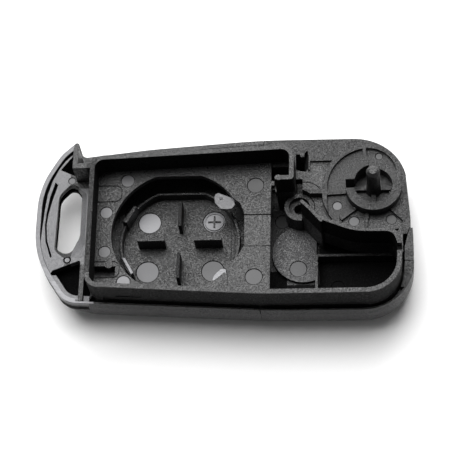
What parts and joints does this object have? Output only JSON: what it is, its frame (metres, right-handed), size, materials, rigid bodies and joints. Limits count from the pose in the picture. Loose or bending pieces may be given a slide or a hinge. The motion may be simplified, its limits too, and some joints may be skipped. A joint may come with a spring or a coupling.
{
  "type": "flip key remote shell",
  "caption": "Open lower half of a folding car-key remote: tray with coin-cell well and loop wall, blade pivot pin and ring, blade pocket, keyring slot and drop-off cover.",
  "frame": {"origin": "bottom centre of the bounding box, on the flat back", "axes": "+Z out of the open side along the pivot pin, +X from the keyring end to the pivot end, +Y toward the long edge with the pivot"},
  "size_m": [0.0754, 0.038, 0.0159],
  "materials": {
    "carrier_plastic": "fine spark-textured black",
    "skin_plastic": "fine spark-textured black"
  },
  "bodies": {
    "housing": {"carrier": "carrier_plastic", "rear_shell": "skin_plastic"},
    "cover": {"battery_cover": "skin_plastic"}
  },
  "joints": [
    {"name": "cover_drop", "type": "slide", "parent": "housing", "child": "cover", "axis": [0, 0, -1], "range_m": [0, 0.012]}
  ]
}
